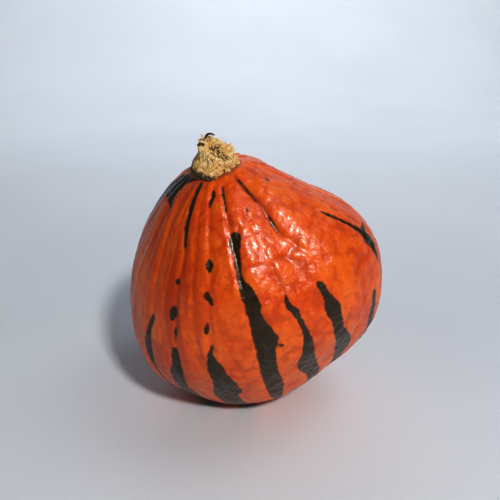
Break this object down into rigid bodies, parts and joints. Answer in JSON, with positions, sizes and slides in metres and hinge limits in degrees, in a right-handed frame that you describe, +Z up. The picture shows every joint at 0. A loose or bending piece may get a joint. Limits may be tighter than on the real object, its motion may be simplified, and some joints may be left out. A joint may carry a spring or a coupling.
{
  "type": "winter squash",
  "caption": "Lopsided teardrop winter squash with a glossy striped rind, soft ribs and a short corky stem, resting on a small flat spot.",
  "frame": {"origin": "on the surface that the squash rests on, under the middle of its overall box", "axes": "+Z up; -Y is the side that the picture shows; the stem leans towards -X and -Y"},
  "size_m": [0.1849, 0.1827, 0.2026],
  "materials": {
    "rind": "waxy, glossy orange-red rind with broken dark olive stripes",
    "cork_stem": "dry, corky, golden-tan stem with brown creases and torn fibres"
  },
  "bodies": {
    "root": {"fruit": "rind", "stem": "cork_stem"}
  },
  "joints": []
}
